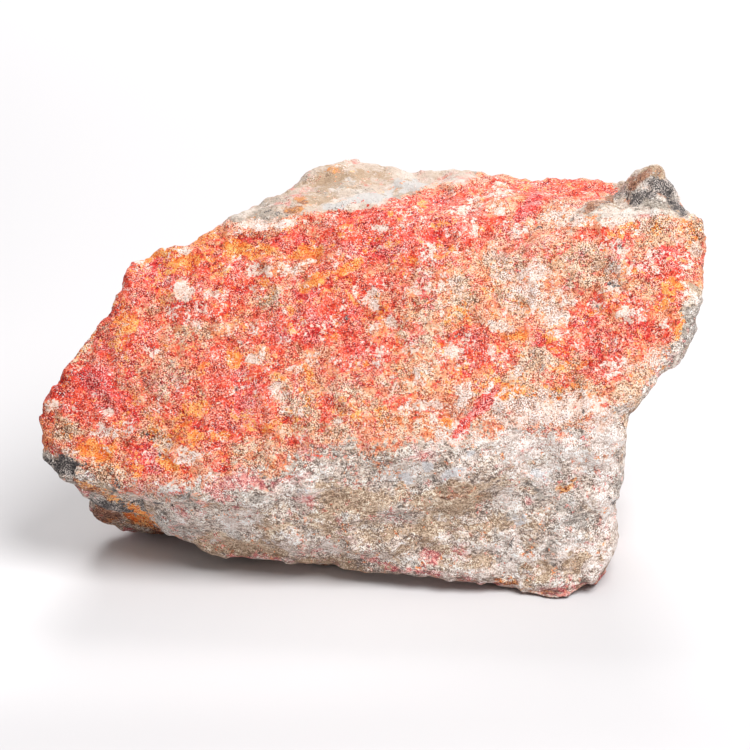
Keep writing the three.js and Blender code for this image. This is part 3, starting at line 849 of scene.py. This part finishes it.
def grey_colour(n, t, tone):
    """The grey stone, its slabs of other minerals, and its flecks of realgar."""
    colour = n.ramp(tone, "host", HOST_LIGHT)
    for turn, name in enumerate(SLAB_MINERALS):
        colour = n.mix(slab_mask(n, t, name, turn), colour, n.ramp(tone, name, HOST_LIGHT))
    for turn, name in ((1, "crimson"), (2, "amber")):
        colour = n.mix(fleck_mask(n, t, turn), colour, n.ramp(tone, name, HOST_LIGHT))
    return n.darken(n.attribute("faces_up"), colour, UPWARD_DARKENING)


def crust_colour(n, t, tone, colour):
    """The red crust and its minerals, over the grey stone's colour."""
    colour = n.mix(grain_mask(n, t, "crust", 3), colour, n.ramp(tone, "coral", LIGHT))
    for turn, name in enumerate(GRAIN_MINERALS):
        colour = n.mix(grain_mask(n, t, name, turn), colour, n.ramp(tone, name, LIGHT))
    return colour


def speckle(n, t, colour):
    """Dark specks, which gather where the stone is tan, and pale glints, which like the red."""
    specks = n.sum(
        (t.grit[1], 1.0), (t.cluster, .35), (t.grains[2], .1), (t.tan, .1), (t.red, -.15),
        (n.attribute("crust"), .05),
    )
    colour = n.darken(n.step(specks, .925, .955), colour, SPECK)
    gleam = n.sum((t.grit[2], 1.0), (t.grains[1], .12), (t.cluster, -.15), (t.red, .08))
    colour = n.darken(n.step(gleam, .65, .69), colour, GLINT_EDGE)
    glints = n.step(gleam, .71, .75)
    return n.mix(glints, colour, seen_as(*GLINT)), glints


def fine_bump(n, t):
    """Grains too small for the mesh."""
    bump = n.add("ShaderNodeBump")
    bump.inputs["Strength"].default_value = 1
    bump.inputs["Distance"].default_value = .3 * MM
    height = n.sum((t.fine[0], 1.0), (t.grit[0], .25), (t.grains[0], .12), (t.streaks, .4))
    n.feed(bump.inputs["Height"], height)
    return bump.outputs[0]


def stone_material():
    n = Nodes("realgar_stone")
    t = StoneTextures(n)
    crust_tone, grey_tone = tones(n, t)
    colour = crust_colour(n, t, crust_tone, grey_colour(n, t, grey_tone))
    colour, glints = speckle(n, t, colour)
    shine = n.add("ShaderNodeMapRange")
    n.feed(shine.inputs["Value"], glints)
    shine.inputs["To Min"].default_value = .7
    shine.inputs["To Max"].default_value = .25
    surface = n.add("ShaderNodeBsdfPrincipled")
    n.feed(surface.inputs["Base Color"], colour)
    n.feed(surface.inputs["Roughness"], shine.outputs["Result"])
    n.feed(surface.inputs["Normal"], fine_bump(n, t))
    surface.inputs["Specular IOR Level"].default_value = .35
    out = n.add("ShaderNodeOutputMaterial")
    n.feed(out.inputs["Surface"], surface.outputs[0])
    return n.material


# --- Studio ----------------------------------------------------------------------------------
# The paper's colour, paler in a painted pool of light near the stone and darker in painted shade
# towards the front.
PAPER = (.672, .658, .668)
PAPER_PAINTED_LIGHT = (.755, .741, .751)
PAPER_PAINTED_SHADE = (.6, .588, .597)
PAINTED_LIGHT_SPOT = (-28, -34, 0)  # in mm, where the paper is at its brightest
PAINTED_LIGHT_FADE = (66, 20)  # mm from there: the brightness starts, and is full
PAINTED_SHADE_FADE = (-46, -74)  # in mm, the Y between which the front colour comes in
FLOOR_HALF = 3.0  # in metres

WORLD_LIGHT = .36
# Name, place, target and width in mm, and power in watts.
LAMPS = [
    ("key", (180, -205, 410), (0, 0, 25), 330, 2.65),
    ("back", (0, 700, 600), (0, 500, 0), 500, 6),
]


def floor_material():
    n = Nodes("studio_floor")
    place = n.add("ShaderNodeTexCoord").outputs["Object"]
    away = n.add("ShaderNodeVectorMath", operation="DISTANCE")
    n.feed(away.inputs[0], place)
    away.inputs[1].default_value = Vector(PAINTED_LIGHT_SPOT) * MM
    # Painted light: the paper is paler near the stone, where its shade falls.
    painted_light = n.step(away.outputs["Value"], *(edge * MM for edge in PAINTED_LIGHT_FADE))
    painted_light = n.math("ADD", painted_light, n.math("MULTIPLY", n.noise(place, .4, 1), .1))
    axes = n.add("ShaderNodeSeparateXYZ")
    n.feed(axes.inputs[0], place)
    # Painted shade: the paper darkens towards the front.
    front = n.step(axes.outputs["Y"], *(edge * MM for edge in PAINTED_SHADE_FADE))
    surface = n.add("ShaderNodeBsdfPrincipled")
    paper = n.mix(painted_light, PAPER, PAPER_PAINTED_LIGHT)
    n.feed(surface.inputs["Base Color"], n.mix(front, paper, PAPER_PAINTED_SHADE))
    surface.inputs["Roughness"].default_value = .6
    surface.inputs["Specular IOR Level"].default_value = .2
    out = n.add("ShaderNodeOutputMaterial")
    n.feed(out.inputs["Surface"], surface.outputs[0])
    return n.material


def build_floor():
    mesh = bpy.data.meshes.new("studio_floor")
    corners = [(x * FLOOR_HALF, y * FLOOR_HALF, 0) for x, y in ((-1, -1), (1, -1), (1, 1), (-1, 1))]
    mesh.from_pydata(corners, [], [(0, 1, 2, 3)])
    mesh.materials.append(floor_material())
    floor = bpy.data.objects.new("studio_floor", mesh)
    bpy.context.scene.collection.objects.link(floor)


def build_lights():
    for name, place, target, width, power in LAMPS:
        lamp = bpy.data.lights.new(name, "AREA")
        lamp.shape = "DISK"
        lamp.size = width * MM
        lamp.energy = power
        holder = bpy.data.objects.new(name, lamp)
        holder.location = Vector(place) * MM
        towards = Vector(target) - Vector(place)
        holder.rotation_euler = towards.to_track_quat("-Z", "Y").to_euler()
        bpy.context.scene.collection.objects.link(holder)
    world = bpy.data.worlds.new("studio")
    world.use_nodes = True
    background = world.node_tree.nodes["Background"]
    background.inputs["Color"].default_value = (1, 1, 1, 1)
    background.inputs["Strength"].default_value = WORLD_LIGHT
    bpy.context.scene.world = world


def build_camera():
    camera = bpy.data.cameras.new("camera")
    camera.lens = LENS
    camera.sensor_width = SENSOR
    camera.clip_start = .01
    holder = bpy.data.objects.new("camera", camera)
    holder.location = Vector(EYE) * MM
    holder.rotation_euler = (math.pi / 2 - ELEVATION, 0, 0)
    bpy.context.scene.collection.objects.link(holder)
    bpy.context.scene.camera = holder


def build_stone():
    mesh = remeshed(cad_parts["realgar_stone"], VOXEL)
    mesh.name = "raw_realgar"
    shape = Surface(mesh)
    carve(shape)
    lay_minerals(shape)
    mesh.materials.append(stone_material())
    mesh.shade_smooth()
    stone = bpy.data.objects.new("raw_realgar", mesh)
    bpy.context.scene.collection.objects.link(stone)
    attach(stone, "root")
    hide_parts("realgar_stone")
    print("stone triangles", sum(len(face.vertices) - 2 for face in mesh.polygons))


bpy.context.scene.view_settings.view_transform = "Standard"
build_stone()
build_floor()
build_lights()
build_camera()
